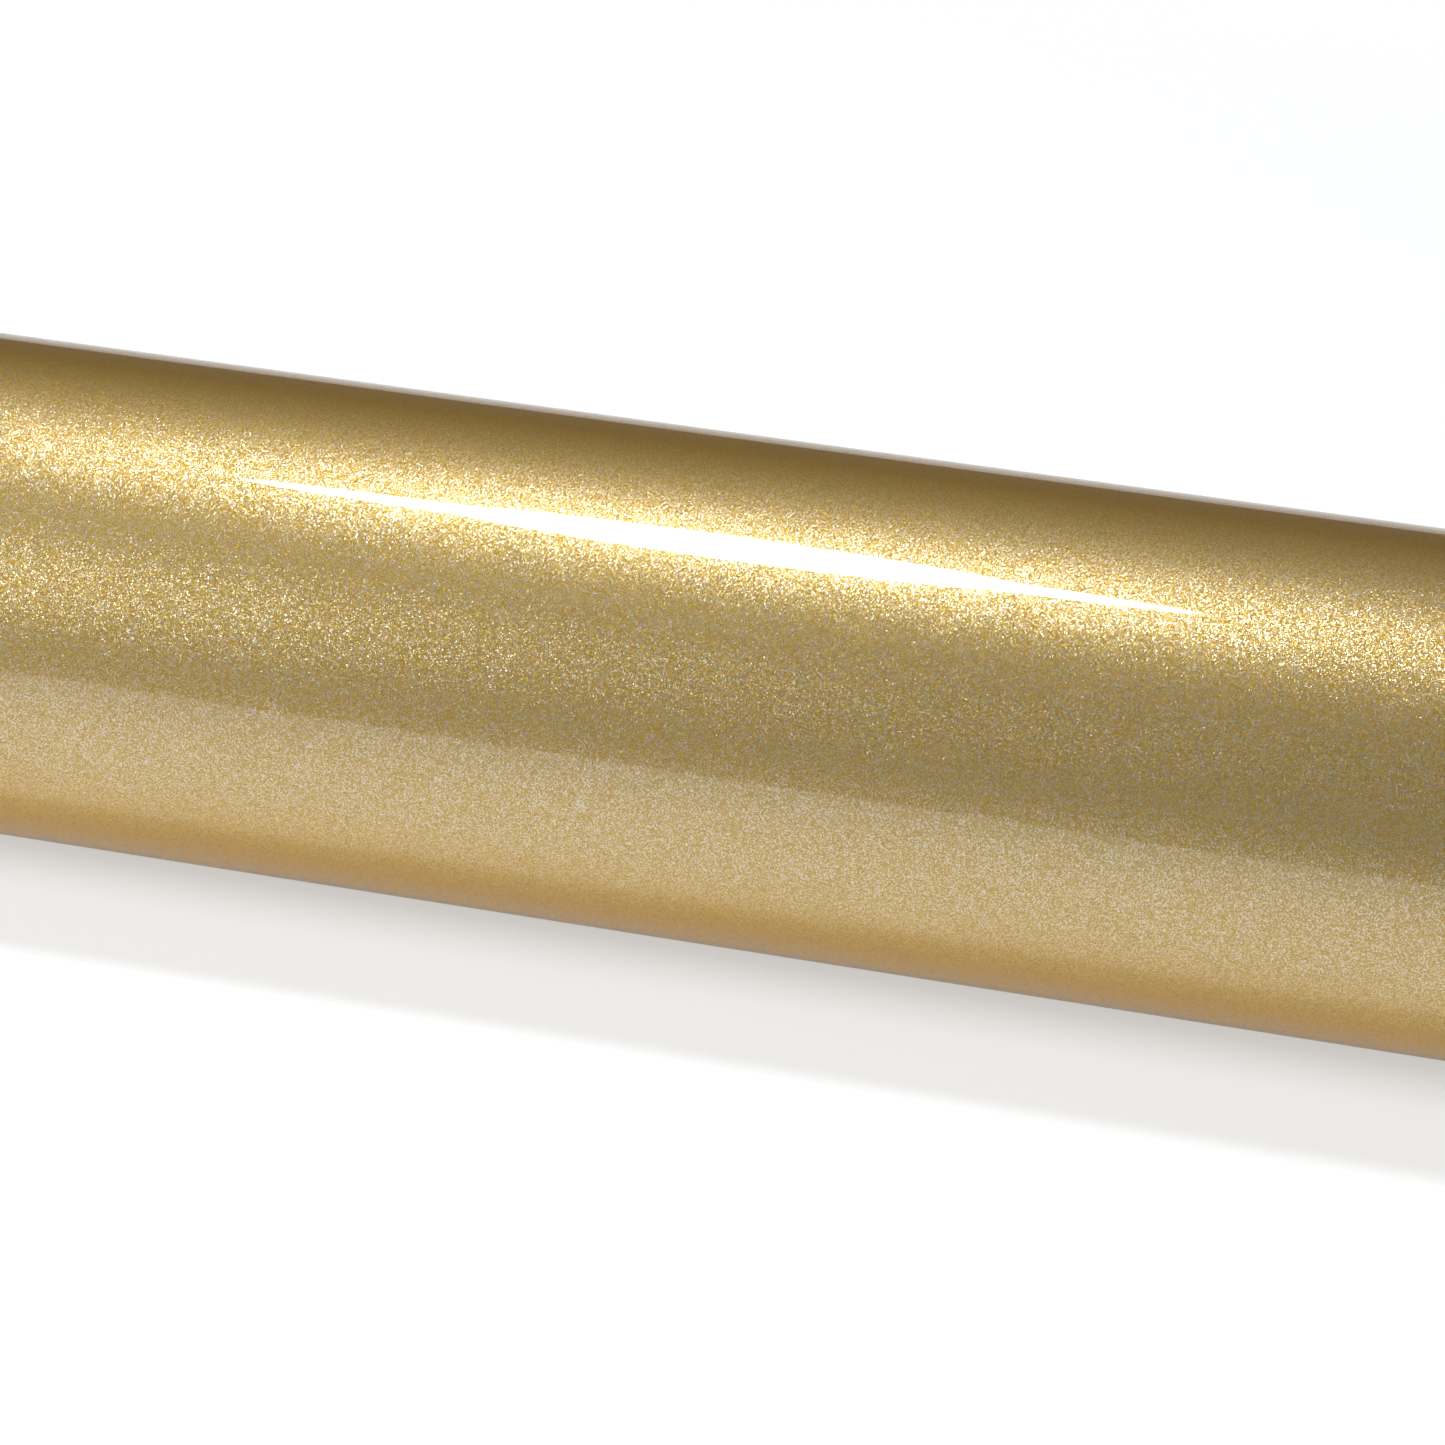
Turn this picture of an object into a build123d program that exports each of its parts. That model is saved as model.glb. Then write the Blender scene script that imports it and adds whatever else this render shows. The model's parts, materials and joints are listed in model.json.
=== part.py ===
from build123d import *
import math
import os
from itertools import pairwise

# A roll of self-adhesive sign vinyl, lying on its side: a web of film, adhesive and release liner, wound
# film side out on a spiral-wound paper core, with its free end taped down at the back.
#
# Frame: X runs along the core, -Y is the front and +Z is up. The origin is on the core's axis, halfway
# along it. Angles round the roll are in degrees, counted from the front, up over the top and down the
# back. All sizes are in millimetres.

# Driving dimensions of the core
core_bore = 76.2  # inside diameter of a three-inch core
ply_count = 10  # paper strips wound one over another
ply_thickness = 0.52
ply_strip_width = 125.0  # of the paper strip, square to its own edges
ply_seam_gap = 0.6  # between neighbouring turns of one strip, along the core
ply_seam_stagger = 137.5  # degrees from one ply's seam to the next one's
core_overhang = 3.0  # core that shows past each edge of the web

# Driving dimensions of the web
web_width = 610.0
web_length = 10_000.0
film_thickness = 0.080
adhesive_thickness = 0.025
liner_thickness = 0.140
winding_gap = 0.020  # air between one turn and the next
web_arc = 60.0  # degrees of a turn that one arc of the wound web covers

# Driving dimensions of the free end and the tapes
starter_tape_thickness = 0.10
starter_tape_length = 25.0  # round the core
starter_tape_margin = 10.0  # bare core between the tape and each edge of the web
tail_length = 35.0  # free end of the web, round the roll
tail_root_angle = 150.0  # where the free end begins, at the back
tab_thickness = 0.06
tab_width = 25.0  # along the roll
tab_length = 40.0  # round the roll, half on the free end and half on the turn below it
tab_spacing = 260.0  # between the middles of neighbouring tabs
tab_step = 2.0  # length in which a tab comes down from the free end to the turn below
tab_bond = 0.02  # its own adhesive, between a tab and what it lies on
short_arc = 3.0  # degrees that one arc of the free end or of a tape covers

# Sizes that follow
core_radius = core_bore / 2 + ply_count * ply_thickness
core_length = web_width + 2 * core_overhang
web_thickness = liner_thickness + adhesive_thickness + film_thickness
pitch = web_thickness + winding_gap
first_turn_radius = core_radius + starter_tape_thickness


def turns_of(length):
    """Turns that a web of this length makes, from length = 2 pi (middle radius n + pitch n^2 / 2)."""
    middle_radius = first_turn_radius + web_thickness / 2
    return (math.sqrt(middle_radius**2 + pitch * length / math.pi) - middle_radius) / pitch


web_start_angle = tail_root_angle - 360 * turns_of(web_length - tail_length)


def wound_radius(angle):
    """Radius of the liner's inner face, which grows by one pitch a turn."""
    return first_turn_radius + pitch * (angle - web_start_angle) / 360


def film_radius(angle):
    """Radius of the film's outer face."""
    return wound_radius(angle) + web_thickness


def span(length, radius):
    """Angle that a length takes round the roll at a radius."""
    return math.degrees(length / radius)


def stations(start, end, longest_arc, radius_at):
    """(angle, radius) pairs from start to end, at equal steps no longer than the longest arc."""
    count = math.ceil((end - start) / longest_arc)
    angles = [start + (end - start) * i / count for i in range(count + 1)]
    return [(angle, radius_at(angle)) for angle in angles]


def on_roll(angle, radius):
    """Point of the roll's cross-section."""
    return Vector(0, -radius * math.cos(math.radians(angle)), radius * math.sin(math.radians(angle)))


def arc(start, end, rise=0.0):
    """Arc between two stations, lifted outwards by rise."""
    middle = ((start[0] + end[0]) / 2, (start[1] + end[1]) / 2)
    points = [on_roll(angle, radius + rise) for angle, radius in (start, middle, end)]
    return ThreePointArc(*points)


def strip(path, thickness, width, x=0.0):
    """Solid strip whose inner face follows a path of stations round the roll, with its middle at x."""
    inner = [arc(a, b) for a, b in pairwise(path)]
    outer = [arc(a, b, thickness) for a, b in pairwise(path)]
    ends = [
        Line(on_roll(angle, radius), on_roll(angle, radius + thickness))
        for angle, radius in (path[0], path[-1])
    ]
    outline = make_face(Wire([*inner, *outer, *ends]))
    # clean would join the arcs of a strip that lies on a true circle
    return Pos(x - width / 2, 0, 0) * extrude(outline, amount=width, dir=(1, 0, 0), clean=False)


def web_layer(height, thickness, start, end, longest_arc):
    """One layer of the web, its inner face this high above the liner's."""
    path = stations(start, end, longest_arc, lambda angle: wound_radius(angle) + height)
    return strip(path, thickness, web_width)


def web_layers(start, end, longest_arc):
    """Liner, adhesive and film of one stretch of the web, inside first."""
    thicknesses = (liner_thickness, adhesive_thickness, film_thickness)
    heights = (0, liner_thickness, liner_thickness + adhesive_thickness)
    return [
        web_layer(height, thickness, start, end, longest_arc)
        for height, thickness in zip(heights, thicknesses)
    ]


def core_ply(number):
    """One paper strip, wound as a helix whose neighbouring turns almost meet at a slanting seam."""
    inner_radius = core_bore / 2 + number * ply_thickness
    outer_radius = inner_radius + ply_thickness
    girth = 2 * math.pi * outer_radius
    # unrolled, a turn rises by its advance over one girth, and the strip is as wide as that advance
    # seen square on
    advance = girth * ply_strip_width / math.sqrt(girth**2 - ply_strip_width**2)
    half_gap = 180 * ply_seam_gap / advance
    cutter_length = core_length + 2 * ply_seam_gap
    corners = [
        (radius * math.cos(math.radians(side)), radius * math.sin(math.radians(side)))
        for radius, side in (
            (inner_radius - ply_thickness, -half_gap),
            (outer_radius + ply_thickness, -half_gap),
            (outer_radius + ply_thickness, half_gap),
            (inner_radius - ply_thickness, half_gap),
        )
    ]
    seam = Solid.extrude_linear_with_rotation(
        make_face(Polyline(*corners, close=True)).face(),
        (0, 0, 0),
        (0, 0, cutter_length),
        360 * cutter_length / advance,
    )
    tube = Cylinder(outer_radius, core_length) - Cylinder(inner_radius, core_length)
    seam_at = Pos(0, 0, -cutter_length / 2) * Rot(0, 0, number * ply_seam_stagger)
    return Rot(0, 90, 0) * (tube - seam_at * seam)


def starter_tape():
    """Double-sided tape that fastens the web's first edge to the core."""
    end = web_start_angle + span(starter_tape_length, core_radius)
    path = stations(web_start_angle, end, short_arc, lambda angle: core_radius)
    return strip(path, starter_tape_thickness, web_width - 2 * starter_tape_margin)


def tail_tape(x, tail_end):
    """Tape tab, half on the free end and half past its edge on the turn below."""
    radius = film_radius(tail_end)
    on_tail = stations(
        tail_end - span(tab_length / 2, radius),
        tail_end,
        short_arc,
        lambda angle: film_radius(angle) + tab_bond,
    )
    on_turn_below = stations(
        tail_end + span(tab_step, radius),
        tail_end + span(tab_length / 2, radius),
        short_arc,
        lambda angle: film_radius(angle - 360) + tab_bond,
    )
    return strip(on_tail + on_turn_below, tab_thickness, tab_width, x)


def roll():
    """Every piece of the roll, by name."""
    pieces = {}
    for number in range(ply_count):
        place = {0: "core_inner_ply", ply_count - 1: "core_outer_ply"}
        pieces[place.get(number, f"core_body_ply_{number}")] = core_ply(number)
    pieces["starter_tape"] = starter_tape()
    wound = web_layers(web_start_angle, tail_root_angle, web_arc)
    pieces["release_liner"], pieces["adhesive_layer"], pieces["vinyl_film"] = wound
    tail_end = tail_root_angle + span(tail_length, film_radius(tail_root_angle))
    free = web_layers(tail_root_angle, tail_end, short_arc)
    pieces["tail_liner"], pieces["tail_adhesive"], pieces["tail_film"] = free
    for side, x in (("left", -tab_spacing), ("middle", 0), ("right", tab_spacing)):
        pieces[f"tail_tape_{side}"] = tail_tape(x, tail_end)
    return pieces


os.makedirs("parts", exist_ok=True)
for name, piece in roll().items():
    export_step(piece, f"parts/{name}.step")

hinge = on_roll(tail_root_angle, film_radius(tail_root_angle))
print(f"turns {turns_of(web_length):.3f}, outer radius {film_radius(tail_root_angle):.3f}")
print(f"core {2 * core_radius:.2f} across and {core_length:.1f} long, bore radius {core_bore / 2:.2f}")
print(f"free end's hinge line at y {hinge.Y:.4f}, z {hinge.Z:.4f}")
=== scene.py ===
# %% [markdown]
# # A roll of gold sign vinyl
#
# Sign makers buy coloured film as a long web: a thin vinyl face, a coat of adhesive and a paper liner that
# is peeled off on the job. The web is wound film side out on a paper core. This lesson builds that roll
# around the measured frame that is loaded here, winds every layer as a real spiral, and spends most of its
# care on the finish, because a metallic film is mostly its reflections.

# %% Load the frame
import bpy
import json
import math
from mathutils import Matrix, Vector

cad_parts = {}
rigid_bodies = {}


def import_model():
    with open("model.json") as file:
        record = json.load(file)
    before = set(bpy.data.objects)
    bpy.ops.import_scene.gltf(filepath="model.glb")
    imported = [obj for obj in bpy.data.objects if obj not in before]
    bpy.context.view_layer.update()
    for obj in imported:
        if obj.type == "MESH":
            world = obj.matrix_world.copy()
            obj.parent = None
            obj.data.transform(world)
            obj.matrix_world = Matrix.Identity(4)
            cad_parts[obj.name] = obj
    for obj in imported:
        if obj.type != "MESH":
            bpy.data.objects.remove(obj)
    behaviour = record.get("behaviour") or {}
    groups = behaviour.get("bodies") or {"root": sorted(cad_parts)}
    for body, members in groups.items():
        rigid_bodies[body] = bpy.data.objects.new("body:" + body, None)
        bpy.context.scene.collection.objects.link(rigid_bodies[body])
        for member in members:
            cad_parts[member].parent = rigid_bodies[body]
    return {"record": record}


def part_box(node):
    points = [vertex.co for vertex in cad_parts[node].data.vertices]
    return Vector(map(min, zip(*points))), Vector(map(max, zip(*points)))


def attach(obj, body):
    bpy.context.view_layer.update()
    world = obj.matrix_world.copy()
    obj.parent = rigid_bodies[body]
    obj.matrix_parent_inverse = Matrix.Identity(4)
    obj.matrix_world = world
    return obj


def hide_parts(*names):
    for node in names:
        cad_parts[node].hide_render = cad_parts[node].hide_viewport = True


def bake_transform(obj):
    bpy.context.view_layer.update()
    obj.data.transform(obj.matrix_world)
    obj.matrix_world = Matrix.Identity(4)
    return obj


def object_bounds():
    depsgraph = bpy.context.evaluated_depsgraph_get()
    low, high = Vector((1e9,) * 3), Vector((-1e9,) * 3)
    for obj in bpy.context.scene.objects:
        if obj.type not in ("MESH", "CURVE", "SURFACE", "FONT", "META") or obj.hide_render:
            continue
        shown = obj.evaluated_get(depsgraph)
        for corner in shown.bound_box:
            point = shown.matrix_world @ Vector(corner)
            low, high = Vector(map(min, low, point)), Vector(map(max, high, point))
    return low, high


for leftover in list(bpy.data.objects):
    bpy.data.objects.remove(leftover)
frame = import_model()
cad_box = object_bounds()

# %% [markdown]
# ## Sizes
#
# The frame already knows how long and how thick the roll is, so those sizes are read from it. The layers of
# the web are far too thin to read from a bounding box, so their thicknesses are named here, in metres. A
# learner could also type every size by hand, but sizes that are read can't drift from the frame.

# %% Sizes
MM = 0.001
liner_thickness = 0.140 * MM
adhesive_thickness = 0.025 * MM
film_thickness = 0.080 * MM
winding_gap = 0.020 * MM
starter_tape_thickness = 0.10 * MM  # double-sided tape under the web's first edge
free_end_length = 35 * MM
web_thickness = liner_thickness + adhesive_thickness + film_thickness
pitch = web_thickness + winding_gap

record = frame["record"]
bore = next(mount for mount in record["mounts"] if mount["name"] == "core_bore")
bore_radius = bore["dims"]["r_mm"] * MM
core_length = bore["dims"]["length_mm"] * MM
core_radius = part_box("core_outer_ply")[1].z
web_width = 2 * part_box("vinyl_film")[1].x
hinge = Vector(record["behaviour"]["joints"][0]["pos_m"])
floor_height = cad_box[0].z
print(f"core {2 * core_radius / MM:.1f} mm across, web {web_width / MM:.0f} mm wide")

# %% [markdown]
# ## Angles round the roll
#
# Every point of a roll is easiest to give as a radius and an angle. Here the angle starts at the front,
# goes up over the top and down the back. The web is a spiral whose radius grows by one pitch each turn,
# which is its thickness and a little air, so one function gives the radius of the web's inner face at any
# angle. The winding ends where the free end is hinged, and that angle is its root.

# %% The spiral
FULL_TURN = 2 * math.pi
root_angle = math.atan2(hinge.z, -hinge.y)
root_radius = math.hypot(hinge.y, hinge.z) - web_thickness
turns = (root_radius - core_radius - starter_tape_thickness) / pitch
start_angle = root_angle - FULL_TURN * turns
end_angle = root_angle + free_end_length / (root_radius + web_thickness)
print(f"{turns:.2f} turns, {2 * (root_radius + web_thickness) / MM:.1f} mm across")


def wound_radius(angle):
    """Radius of the web's inner face."""
    return root_radius + pitch * (angle - root_angle) / FULL_TURN


def on_roll(angle, radius):
    """Point of the roll's cross-section."""
    return Vector((0, -radius * math.cos(angle), radius * math.sin(angle)))


# %% [markdown]
# ## Helpers for modelling
#
# Operators act on whatever is selected, and loading the frame leaves its parts selected. So each piece
# starts by clearing the selection, and each edit picks its vertices in code. The layers of the web and the
# tape tabs are all made the same way: a line is drawn, pulled sideways into a ribbon, and given its
# thickness by a modifier that is then applied.

# %% Helpers for modelling
smooth_below = math.radians(40)  # faces that meet at less than this are shaded as one smooth surface


def select_only(piece):
    """Make one object the only selected and active one."""
    bpy.ops.object.select_all(action="DESELECT")
    piece.select_set(True)
    bpy.context.view_layer.objects.active = piece


def draw_path(name, points):
    """Mesh line through the points, drawn as a curve and then converted."""
    curve = bpy.data.curves.new(name, "CURVE")
    curve.dimensions = "3D"
    spline = curve.splines.new("POLY")
    spline.points.add(len(points) - 1)
    for knot, point in zip(spline.points, points):
        knot.co = (*point, 1)
    line = bpy.data.objects.new(name, curve)
    bpy.context.collection.objects.link(line)
    select_only(line)
    bpy.ops.object.convert(target="MESH")
    return bpy.context.object


def pull_sideways(piece, width, steps=1):
    """Extrude a line along the roll into a ribbon centred on x = 0, with its normals away from the core."""
    select_only(piece)
    for vertex in piece.data.vertices:
        vertex.co.x -= width / 2
    bpy.ops.object.mode_set(mode="EDIT")
    bpy.ops.mesh.select_all(action="SELECT")
    for _ in range(steps):
        bpy.ops.mesh.extrude_region_move(TRANSFORM_OT_translate={"value": (width / steps, 0, 0)})
    bpy.ops.object.mode_set(mode="OBJECT")
    face = piece.data.polygons[0]
    if face.normal.dot(Vector((0, face.center.y, face.center.z))) < 0:
        piece.data.flip_normals()


def thicken(piece, thickness):
    """Give a ribbon its thickness, outwards, and apply it."""
    select_only(piece)
    wall = piece.modifiers.new("thickness", "SOLIDIFY")
    wall.thickness = thickness
    wall.offset = 1
    wall.use_even_offset = False
    bpy.ops.object.modifier_apply(modifier=wall.name)
    bpy.ops.object.shade_smooth_by_angle(angle=smooth_below)


def finish_piece(piece, material, node):
    """Give a piece its material, and hide the frame's part that it stands for."""
    piece.data.materials.append(material)
    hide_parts(node)
    print(piece.name, len(piece.data.polygons), "faces")


# %% [markdown]
# ## Helpers for materials
#
# A material is a tree of small nodes. The first helpers add one node, set what is given and link what is
# given as another node's output, so each finish below reads as a short recipe. Patterns are laid out on the
# object's own coordinates, because these stay put on a piece when it moves.

# %% Helpers for materials
def new_material(name):
    """Material with a principled shader; returns it and the shader."""
    made = bpy.data.materials.new(name)
    made.use_nodes = True
    return made, made.node_tree.nodes["Principled BSDF"]


def add_node(tree, kind, settings=None, **inputs):
    """Add a node, and set its inputs or link them to other nodes' outputs.

    An input goes by its socket's name, with _ for a space, or by its number after an i.
    """
    made = tree.nodes.new(kind)
    for key, value in (settings or {}).items():
        setattr(made, key, value)
    for key, value in inputs.items():
        by_number = key[0] == "i" and key[1:].isdigit()
        socket = made.inputs[int(key[1:]) if by_number else key.replace("_", " ")]
        if isinstance(value, bpy.types.NodeSocket):
            tree.links.new(value, socket)
        else:
            socket.default_value = value
    return made


def place(tree):
    """Position on the object, which stays put when the object moves."""
    return add_node(tree, "ShaderNodeTexCoord").outputs["Object"]


def spread(tree, value, low, high, start=0.0, end=1.0):
    """Number that goes from low to high as the value goes from start to end."""
    limits = {"From_Min": start, "From_Max": end, "To_Min": low, "To_Max": high}
    return add_node(tree, "ShaderNodeMapRange", Value=value, **limits).outputs["Result"]


def tone(tree, factor, stops):
    """Colour ramp from a factor: stops are (position, colour)."""
    ramp = add_node(tree, "ShaderNodeValToRGB", Fac=factor)
    band = ramp.color_ramp
    while len(band.elements) < len(stops):
        band.elements.new(1)
    for element, (position, colour) in zip(band.elements, stops):
        element.position = position
        element.color = (*colour, 1)
    return ramp.outputs["Color"]


def mixed_colour(tree, factor, first, second):
    """Colour between two others."""
    settings = {"data_type": "RGBA"}
    return add_node(tree, "ShaderNodeMix", settings, i0=factor, i6=first, i7=second).outputs[2]


def mixed_shader(tree, factor, first, second):
    """Shader between two others' nodes."""
    parts = {"i0": factor, "i1": first.outputs[0], "i2": second.outputs[0]}
    return add_node(tree, "ShaderNodeMixShader", **parts).outputs[0]


print("helpers ready")

# %% [markdown]
# ## Gold flake film
#
# A metallic film holds tiny metal flakes in a clear resin, under a smooth top. Each flake is a mirror that
# leans a little its own way, which gives the grain, the sparkle and the wide soft glow. The smooth top adds
# a second, sharp reflection. So the shader is a rough metal whose normal is shaken cell by cell, under a
# clear coat whose normal stays calm.
#
# The flakes aren't all alike. One random number per cell makes most of them deep gold and dull, and a few
# of them pale and shiny, so that the glow under a lamp turns paler than the rest. It has to be drawn apart
# from the lean, or all the pale flakes would lean one way. Such a film also has a flop, and here it is painted
# shade: where the surface turns away from the view, the base colour itself is painted a darker, warmer gold,
# which darkens the roll towards the edges of its outline. A picture of flakes would be simpler, but it would
# show its seams.

# %% Gold flake film
flakes_per_metre = 4300.0
# Golds by kind of flake, from the dullest to the shiniest
face_golds = ((0.0, (0.56, 0.35, 0.045)), (0.62, (0.66, 0.46, 0.120)), (0.87, (0.82, 0.75, 0.58)))
# Painted shade: the darker, warmer golds painted on where the surface turns away from the view, and how far it
# turns where that sets in and where it is complete
painted_flop_golds = ((0.0, (0.56, 0.315, 0.018)), (1.0, (0.79, 0.52, 0.062)))
painted_flop_from, painted_flop_to = 0.31, 0.62  # how far the surface turns away where the flop sets in and is complete
dull, shiny = 0.60, 0.32  # roughness of the dullest and the shiniest flakes
least_lean, most_lean = 0.12, 0.29
middle_grey = (0.5, 0.5, 0.5)


def shaken_normal(tree, flakes, lean):
    """Surface normal, leaned by each flake's own random colour."""
    centred = add_node(tree, "ShaderNodeVectorMath", {"operation": "SUBTRACT"}, i0=flakes, i1=middle_grey)
    scaled = add_node(tree, "ShaderNodeVectorMath", {"operation": "SCALE"}, i0=centred.outputs[0], Scale=lean)
    normal = add_node(tree, "ShaderNodeNewGeometry").outputs["Normal"]
    summed = add_node(tree, "ShaderNodeVectorMath", {"operation": "ADD"}, i0=normal, i1=scaled.outputs[0])
    return add_node(tree, "ShaderNodeVectorMath", {"operation": "NORMALIZE"}, i0=summed.outputs[0]).outputs[0]


def gold_flake_film():
    """Gold flakes of many kinds under a clear top."""
    made, shader = new_material("gold_flake_film")
    tree = made.node_tree
    flakes = add_node(tree, "ShaderNodeTexVoronoi", Vector=place(tree), Scale=flakes_per_metre)
    chance = add_node(tree, "ShaderNodeTexWhiteNoise", Vector=flakes.outputs["Position"])
    kind = chance.outputs["Value"]
    # Painted shade: the base colour is mixed towards the darker golds as the surface turns away from the view
    slant = add_node(tree, "ShaderNodeLayerWeight", Blend=0.5).outputs["Facing"]
    painted_flop_shade = spread(tree, slant, 0, 1, painted_flop_from, painted_flop_to)
    colour = mixed_colour(tree, painted_flop_shade, tone(tree, kind, face_golds), tone(tree, kind, painted_flop_golds))
    lean = spread(tree, chance.outputs["Color"], least_lean, most_lean)
    tree.links.new(colour, shader.inputs["Base Color"])
    tree.links.new(spread(tree, kind, dull, shiny), shader.inputs["Roughness"])
    tree.links.new(shaken_normal(tree, flakes.outputs["Color"], lean), shader.inputs["Normal"])
    shader.inputs["Metallic"].default_value = 1.0
    shader.inputs["Specular Tint"].default_value = (0.80, 0.50, 0.16, 1)
    shader.inputs["Coat Weight"].default_value = 1.0
    shader.inputs["Coat Roughness"].default_value = 0.045
    shader.inputs["Coat IOR"].default_value = 1.8
    return made


film_material = gold_flake_film()
print("made", film_material.name)

# %% [markdown]
# ## Papers, adhesive and tape
#
# The liner is a smooth white paper with faint fibres. The core is grey-brown board with long fibres, which run
# along the core here. The tape tabs are cream crêpe paper, with faint streaks round the roll. The adhesive
# only shows as a hairline at the ends of the roll. All of them get their colour variation and their relief
# from noise, at the scale of fibres. One recipe does for them all, because they differ in numbers alone.

# %% Papers, adhesive and tape
def fibrous(name, dark, pale, scale, stretch, roughness, relief):
    """Fibrous finish: noise stretched along the fibres tints it and raises it."""
    made, shader = new_material(name)
    tree = made.node_tree
    along = add_node(tree, "ShaderNodeMapping", Vector=place(tree), Scale=stretch).outputs[0]
    noise = add_node(tree, "ShaderNodeTexNoise", Vector=along, Scale=scale, Detail=6.0, Roughness=0.65)
    fibres = noise.outputs["Fac"]
    tree.links.new(tone(tree, fibres, ((0.3, dark), (0.7, pale))), shader.inputs["Base Color"])
    bump = add_node(tree, "ShaderNodeBump", Strength=0.5, Distance=relief, Height=fibres)
    tree.links.new(bump.outputs[0], shader.inputs["Normal"])
    shader.inputs["Roughness"].default_value = roughness
    return made


# dark and pale tone, fibres per metre, stretch along X, Y and Z, roughness and relief
liner_look = (0.80, 0.79, 0.76), (0.91, 0.90, 0.88), 900.0, (0.3, 1, 1), 0.45, 0.02 * MM
board_look = (0.25, 0.185, 0.12), (0.43, 0.335, 0.23), 420.0, (0.22, 1, 1), 0.85, 0.12 * MM
crepe_look = (0.66, 0.57, 0.38), (0.80, 0.72, 0.53), 1100.0, (1, 0.25, 0.25), 0.6, 0.06 * MM
starter_look = (0.62, 0.60, 0.52), (0.72, 0.70, 0.62), 700.0, (0.3, 1, 1), 0.4, 0.01 * MM
adhesive_look = (0.60, 0.58, 0.52), (0.68, 0.66, 0.60), 1500.0, (1, 1, 1), 0.3, 0.01 * MM

liner_material = fibrous("liner_paper", *liner_look)
core_material = fibrous("core_board", *board_look)
tab_material = fibrous("crepe_tape", *crepe_look)
starter_material = fibrous("double_sided_tape", *starter_look)
adhesive_material = fibrous("clear_adhesive", *adhesive_look)
print("made", liner_material.name, core_material.name, tab_material.name)

# %% [markdown]
# ## The wound web
#
# Each layer is one long strip. Its edge is drawn as a spiral line, pulled sideways by the width of the web
# and given its thickness. A stack of plain tubes would look alike from far off, but its ends would show
# closed rings instead of one winding, and the free end would have nothing to grow from. The winding machine
# lets the web wander a little from side to side, in two slow waves, so the ends of the roll are never quite
# flat.

# %% The wound web
wound_segments = 112  # in a turn
wander_waves = ((0.16 * MM, 0.31, 0.0), (0.10 * MM, 0.83, 1.0))  # reach, waves in a full turn, phase
film_height = liner_thickness + adhesive_thickness
layers = {
    "liner": (0.0, liner_thickness, liner_material, "release_liner", "liner_paper"),
    "adhesive": (liner_thickness, adhesive_thickness, adhesive_material, "adhesive_layer", "adhesive"),
    "film": (film_height, film_thickness, film_material, "vinyl_film", "gold_film"),
}


def wander(angle):
    """Sideways drift of the web at this angle, as the winding machine left it."""
    return sum(reach * math.sin(rate * angle + phase) for reach, rate, phase in wander_waves)


def wind_layer(name, height, thickness, start, end, segments):
    """One layer of the web from one angle to another, with this many segments in a turn."""
    count = math.ceil((end - start) / FULL_TURN * segments)
    angles = [start + (end - start) * i / count for i in range(count + 1)]
    piece = draw_path(name, [on_roll(angle, wound_radius(angle) + height) for angle in angles])
    pull_sideways(piece, web_width)
    for i, vertex in enumerate(piece.data.vertices):
        vertex.co.x += wander(angles[i % len(angles)])
    thicken(piece, thickness)
    return piece


for layer, (height, thickness, material, node, slot) in layers.items():
    piece = wind_layer(f"wound_{layer}", height, thickness, start_angle, root_angle, wound_segments)
    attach(piece, "roll")
    finish_piece(piece, material, node)

# %% [markdown]
# ## The free end
#
# The last 35 mm of the web can be lifted off. It is drawn on the same spiral, so it lies flush. It has more
# segments in a turn than the rest of the web.

# %% The free end
free_end_segments = 480  # in a turn

for layer, (height, thickness, material, _, slot) in layers.items():
    piece = wind_layer(f"free_{layer}", height, thickness, root_angle, end_angle, free_end_segments)
    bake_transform(piece)
    finish_piece(piece, material, f"tail_{layer}")

# %% [markdown]
# ## Tape tabs
#
# Three short pieces of paper tape hold the free end down. Each one lies half on the free end, steps down
# over its edge, and lies half on the turn below. The dispenser's blade leaves a saw-tooth edge, made here
# by moving every second vertex of the two cut ends.

# %% Tape tabs
tab_width = 25 * MM
tab_reach = 20 * MM  # on each side of the free end's edge
tab_thickness = 0.06 * MM
tab_bond = 0.02 * MM  # its own adhesive
tab_step = 2 * MM  # length in which it comes down to the turn below
tab_segments = 20  # on each side of the free end's edge
tooth = 0.9 * MM
teeth = 16


def tab_path():
    """Points under a tab, from the free end over its edge to the turn below."""
    outer = wound_radius(end_angle) + web_thickness
    path = []
    for i in range(tab_segments + 1):
        angle = end_angle - tab_reach / outer * (1 - i / tab_segments)
        path.append(on_roll(angle, wound_radius(angle) + web_thickness + tab_bond))
    for i in range(tab_segments + 1):
        angle = end_angle + (tab_step + (tab_reach - tab_step) * i / tab_segments) / outer
        path.append(on_roll(angle, wound_radius(angle - FULL_TURN) + web_thickness + tab_bond))
    return path


def cut_teeth(piece, rows):
    """Draw every second vertex of both cut ends inwards."""
    for column in range(1, 2 * teeth, 2):
        for end, inner in ((0, 1), (rows - 1, rows - 2)):
            tip = piece.data.vertices[column * rows + end]
            shift = piece.data.vertices[column * rows + inner].co - tip.co
            tip.co += shift.normalized() * tooth


def tape_tab(name, x):
    """One tab with its middle at x."""
    path = tab_path()
    piece = draw_path(name, path)
    pull_sideways(piece, tab_width, steps=2 * teeth)
    cut_teeth(piece, len(path))
    for vertex in piece.data.vertices:
        vertex.co.x += x
    thicken(piece, tab_thickness)
    return piece


for side in ("left", "middle", "right"):
    low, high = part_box(f"tail_tape_{side}")
    piece = tape_tab(f"tape_tab_{side}", (low.x + high.x) / 2)
    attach(piece, "free_end")
    finish_piece(piece, tab_material, f"tail_tape_{side}")

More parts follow.
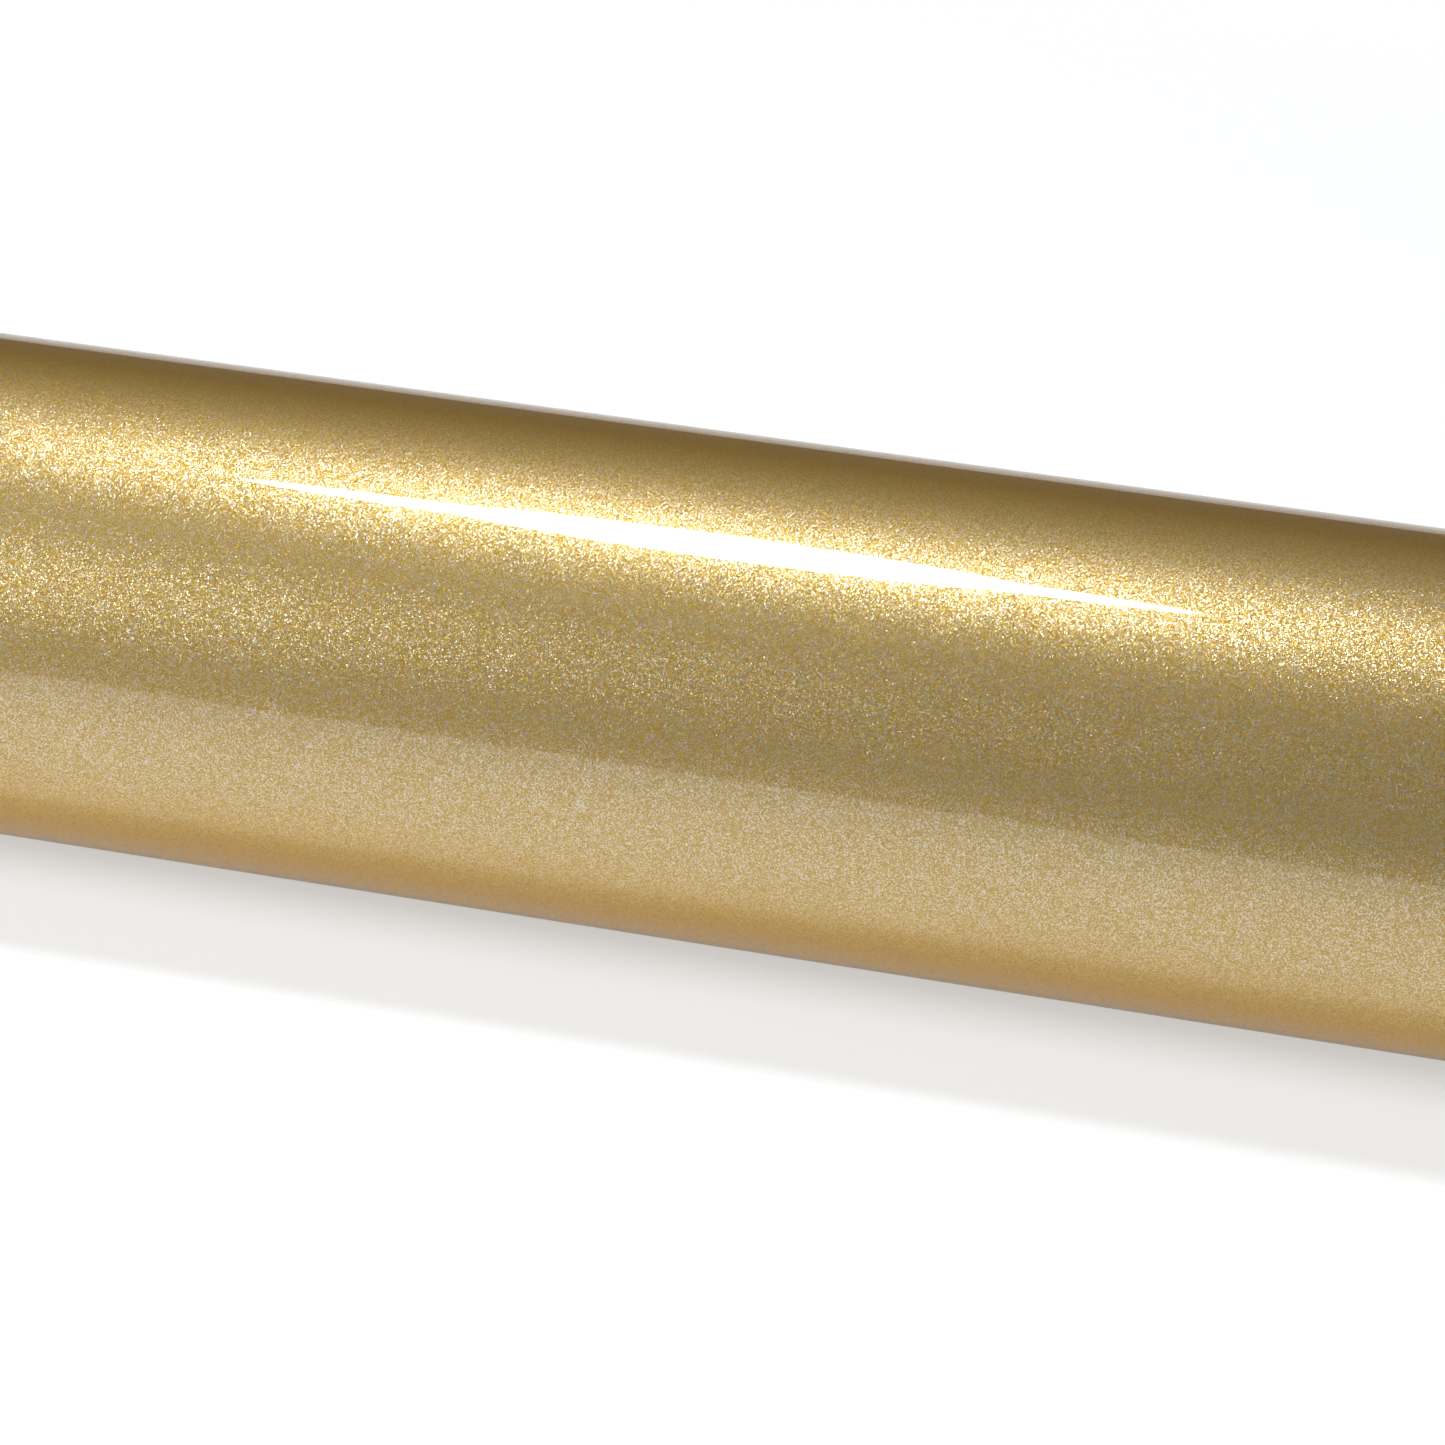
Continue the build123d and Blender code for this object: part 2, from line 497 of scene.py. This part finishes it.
# %% [markdown]
# ## The paper core
#
# A core is wound from strips of board: each strip runs round the tube as a helix, its edges meeting at a
# slanting seam, and the next strip covers that seam. The screw modifier makes just that from the strip's
# cross-section, and two bisects saw the tube to length. A plain tube would lack the seams that show in the
# bore.

# %% The paper core
ply_nodes = ["core_inner_ply", *(f"core_body_ply_{i}" for i in range(1, 9)), "core_outer_ply"]
ply_thickness = (core_radius - bore_radius) / len(ply_nodes)
strip_width = 125 * MM  # of the paper strip, square to its own edges
seam_gap = 0.6 * MM
seam_stagger = math.radians(137.5)
steps_per_turn = 96
spare_turns = 3  # so that the strip reaches past both ends before it is sawn


def ply_section(name, number, advance):
    """Outline of one strip, cut along the core, that rises by its advance in a turn."""
    low = -core_length / 2 - seam_gap - advance * (1 + number * seam_stagger / FULL_TURN % 1)
    middle_radius = bore_radius + (number + 0.5) * ply_thickness
    bpy.ops.object.select_all(action="DESELECT")
    bpy.ops.mesh.primitive_plane_add(size=1, location=(0, 0, 0), rotation=(math.pi / 2, 0, 0))
    piece = bpy.context.object
    piece.name = name
    piece.scale = (advance - seam_gap, ply_thickness, 1)
    piece.location = (low + advance / 2, 0, -middle_radius)
    bpy.ops.object.transform_apply(location=True, rotation=True, scale=True)
    bpy.ops.object.mode_set(mode="EDIT")
    bpy.ops.mesh.select_all(action="SELECT")
    bpy.ops.mesh.delete(type="ONLY_FACE")
    bpy.ops.object.mode_set(mode="OBJECT")
    return piece


def saw_ends(piece):
    """Saw a strip square at both ends of the core, and close the cuts."""
    bpy.ops.object.mode_set(mode="EDIT")
    for side in (-1, 1):
        bpy.ops.mesh.select_all(action="SELECT")
        bpy.ops.mesh.bisect(
            plane_co=(side * core_length / 2, 0, 0), plane_no=(side, 0, 0), use_fill=True, clear_outer=True
        )
    bpy.ops.mesh.select_all(action="SELECT")
    bpy.ops.mesh.normals_make_consistent(inside=False)
    bpy.ops.object.mode_set(mode="OBJECT")


def wind_ply(name, number):
    """One strip of board, wound as a helix."""
    girth = FULL_TURN * (bore_radius + (number + 1) * ply_thickness)
    advance = girth * strip_width / math.sqrt(girth**2 - strip_width**2)
    piece = ply_section(name, number, advance)
    helix = piece.modifiers.new("helix", "SCREW")
    helix.axis = "X"
    helix.angle = FULL_TURN
    helix.screw_offset = advance
    helix.iterations = math.ceil(core_length / advance) + spare_turns
    helix.steps = steps_per_turn
    helix.render_steps = steps_per_turn
    helix.use_merge_vertices = False
    bpy.ops.object.modifier_apply(modifier=helix.name)
    saw_ends(piece)
    bpy.ops.object.shade_smooth_by_angle(angle=smooth_below)
    return piece


for number, node in enumerate(ply_nodes):
    piece = wind_ply(f"board_{node.removeprefix('core_')}", number)
    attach(piece, "roll")
    finish_piece(piece, core_material, node)

# %% [markdown]
# ## What the frame keeps
#
# The double-sided tape under the first turn is hidden in the roll, and its shape in the frame is already
# right. It could be modelled again like the web, but it only needs its finish.

# %% What the frame keeps
starter_tape = bpy.data.objects["starter_tape"]
starter_tape.data.materials.clear()
starter_tape.data.materials.append(starter_material)
print("finished", starter_tape.name)

# %% [markdown]
# ## The table
#
# The roll lies on a matte white table. Its front edge matters: it is what draws the line between the pale
# lower band and the darker middle of the film. A pure white table would be mirrored so brightly that the
# gold would drown in it. So the light path tells who is looking: bounced light meets a plain grey, a
# reflection sees it lifted a little, and the camera sees it lifted half way to white. Near the roll that
# leaves room for the shadow, and further away the table turns fully white, so that its edges don't show.

# %% The table
table_front = 0.69
table_back = 0.95
table_half_width = 2.2
table_grey = (0.63, 0.63, 0.63, 1)
table_seen = (0.91, 0.94, 0.97, 1)  # a little blue, against the gold light that the roll throws on it
camera_lift = 0.50
glossy_lift = 0.18
white_start, white_end = 0.27, 0.45  # from the middle of the roll, square to it
oval = (0.6, 1, 0)  # the white starts further away along the roll
WHITE = (1, 1, 1, 1)

bpy.ops.object.select_all(action="DESELECT")
bpy.ops.mesh.primitive_plane_add(size=1, location=(0, (table_back - table_front) / 2, floor_height))
table = bpy.context.object
table.name = "table"
table.scale = (2 * table_half_width, table_back + table_front, 1)
bpy.ops.object.transform_apply(location=True, rotation=True, scale=True)


def camera_share(tree, looks):
    """How far the camera sees the table lifted to white, which grows away from the roll."""
    squeezed = add_node(tree, "ShaderNodeVectorMath", {"operation": "MULTIPLY"}, i0=place(tree), i1=oval)
    away = add_node(tree, "ShaderNodeVectorMath", {"operation": "LENGTH"}, i0=squeezed.outputs[0])
    lift = spread(tree, away.outputs["Value"], camera_lift, 1, white_start, white_end)
    camera = looks.outputs["Is Camera Ray"]
    return add_node(tree, "ShaderNodeMath", {"operation": "MULTIPLY"}, i0=camera, i1=lift).outputs[0]


def white_table():
    """Grey table that is lifted towards white where the camera or a reflection looks at it."""
    made, shader = new_material("white_table")
    tree = made.node_tree
    looks = add_node(tree, "ShaderNodeLightPath")
    colour = mixed_colour(tree, looks.outputs["Is Camera Ray"], table_grey, table_seen)
    tree.links.new(colour, shader.inputs["Base Color"])
    shader.inputs["Roughness"].default_value = 0.9
    shader.inputs["Specular IOR Level"].default_value = 0.0
    glow = add_node(tree, "ShaderNodeEmission", Color=WHITE, Strength=1.0)
    lifts = {"i0": looks.outputs["Is Glossy Ray"], "i1": glossy_lift, "i2": camera_share(tree, looks)}
    amount = add_node(tree, "ShaderNodeMath", {"operation": "MULTIPLY_ADD"}, **lifts).outputs[0]
    seen = mixed_shader(tree, amount, shader, glow)
    tree.links.new(seen, tree.nodes["Material Output"].inputs["Surface"])
    return made


table.data.materials.append(white_table())
print("table ready")

# %% [markdown]
# ## The room
#
# A metallic film shows what is around it, so the room is part of its finish. It is dim and plain in front,
# darker still at the wall behind the roll, which gives the film its dark upper edge, and brighter towards
# the ceiling. An even white world would be simpler, but it would wash out the gold. The camera alone sees
# the room as white.

# %% The room
room_front = 0.19
room_wall = 0.15
room_ceiling = 0.30
behind_start, behind_end = -0.1, 0.6  # how far towards the back, as the Y of a direction
ceiling_start, ceiling_end = 0.2, 0.75  # how far up, as its Z


def dim_room():
    """World: white to the camera, and to all else a dim room with a darker wall behind the roll."""
    world = bpy.data.worlds.new("dim_room")
    world.use_nodes = True
    tree = world.node_tree
    room = tree.nodes["Background"]
    towards = add_node(tree, "ShaderNodeTexCoord").outputs["Generated"]
    way = add_node(tree, "ShaderNodeSeparateXYZ", Vector=towards)
    behind = spread(tree, way.outputs["Y"], 0, 1, behind_start, behind_end)
    back = spread(tree, way.outputs["Z"], room_wall, room_ceiling, ceiling_start, ceiling_end)
    level = add_node(tree, "ShaderNodeMix", i0=behind, i2=room_front, i3=back)
    tree.links.new(level.outputs[0], room.inputs["Color"])
    white = add_node(tree, "ShaderNodeBackground", Color=WHITE, Strength=1.0)
    seen = mixed_shader(tree, add_node(tree, "ShaderNodeLightPath").outputs["Is Camera Ray"], room, white)
    tree.links.new(seen, tree.nodes["World Output"].inputs["Surface"])
    return world


bpy.context.scene.world = dim_room()
print("room ready")

# %% [markdown]
# ## The lights
#
# Two oval lights hang overhead, slightly behind the roll, and only show as reflections. The long thin one
# draws the pointed ends of the white streak, and the short deep one makes its middle wide and hot. One
# light of that outline would have to be a mesh. They point straight down, because an oval that is aimed at
# the roll turns round its own axis. A spot and a fill light the table and cast the shadow, and stay out of
# the reflections. A panel on the left gives the soft glow there.

# %% The lights
def softbox(name, shape, size, place_at, aim_at, radiance):
    """Area light of a given size that shines from one point towards another."""
    width, height = size
    lamp = bpy.data.lights.new(name, "AREA")
    lamp.shape = shape
    lamp.size = width
    lamp.size_y = height
    area = math.pi * width * height / 4 if shape in ("DISK", "ELLIPSE") else width * height
    lamp.energy = radiance * math.pi * area
    light = bpy.data.objects.new(name, lamp)
    bpy.context.collection.objects.link(light)
    light.location = place_at
    light.rotation_euler = (Vector(aim_at) - Vector(place_at)).to_track_quat("-Z", "Y").to_euler()
    return light


tube = softbox("overhead_tube", "ELLIPSE", (0.44, 0.15), (-0.30, 0.19, 1.35), (-0.30, 0.19, 0), 18.0)
middle = softbox("overhead_softbox", "ELLIPSE", (0.27, 0.30), (-0.29, 0.19, 1.34), (-0.29, 0.19, 0), 18.0)
for only_mirrored in (tube, middle):
    only_mirrored.visible_diffuse = False

spot = softbox("table_spot", "DISK", (0.20, 0.20), (-0.30, 0.06, 1.35), (0, 0, 0), 120.0)
fill = softbox("table_fill", "RECTANGLE", (1.6, 0.7), (0.1, -1.0, 1.33), (0, -0.05, 0), 4.0)
for never_mirrored in (spot, fill):
    never_mirrored.visible_glossy = False

softbox("left_panel", "RECTANGLE", (1.1, 0.9), (-1.55, -1.3, 1.1), (-0.1, 0, 0), 5.6)
print("lights ready")

# %% [markdown]
# ## The camera
#
# The camera stands in front of the roll, a little to the right, and looks down on it through a long lens,
# so that the roll runs across the whole frame and hardly narrows. A short lens from close by would show as
# much of it, but with edges that run together. The standard view transform keeps the golds as they are
# written.

# %% The camera
look_down = math.radians(33.3)
look_left = math.radians(15.064)
camera_data = bpy.data.cameras.new("camera")
camera_data.lens = 135.05
camera_data.sensor_width = 36
camera = bpy.data.objects.new("camera", camera_data)
bpy.context.collection.objects.link(camera)
camera.location = (0.2412, -0.89988, 0.60394)
camera.rotation_euler = (math.pi / 2 - look_down, 0, look_left)
bpy.context.scene.camera = camera
bpy.context.scene.view_settings.view_transform = "Standard"
print(f"camera {camera.location.length:.2f} m from the middle of the roll")
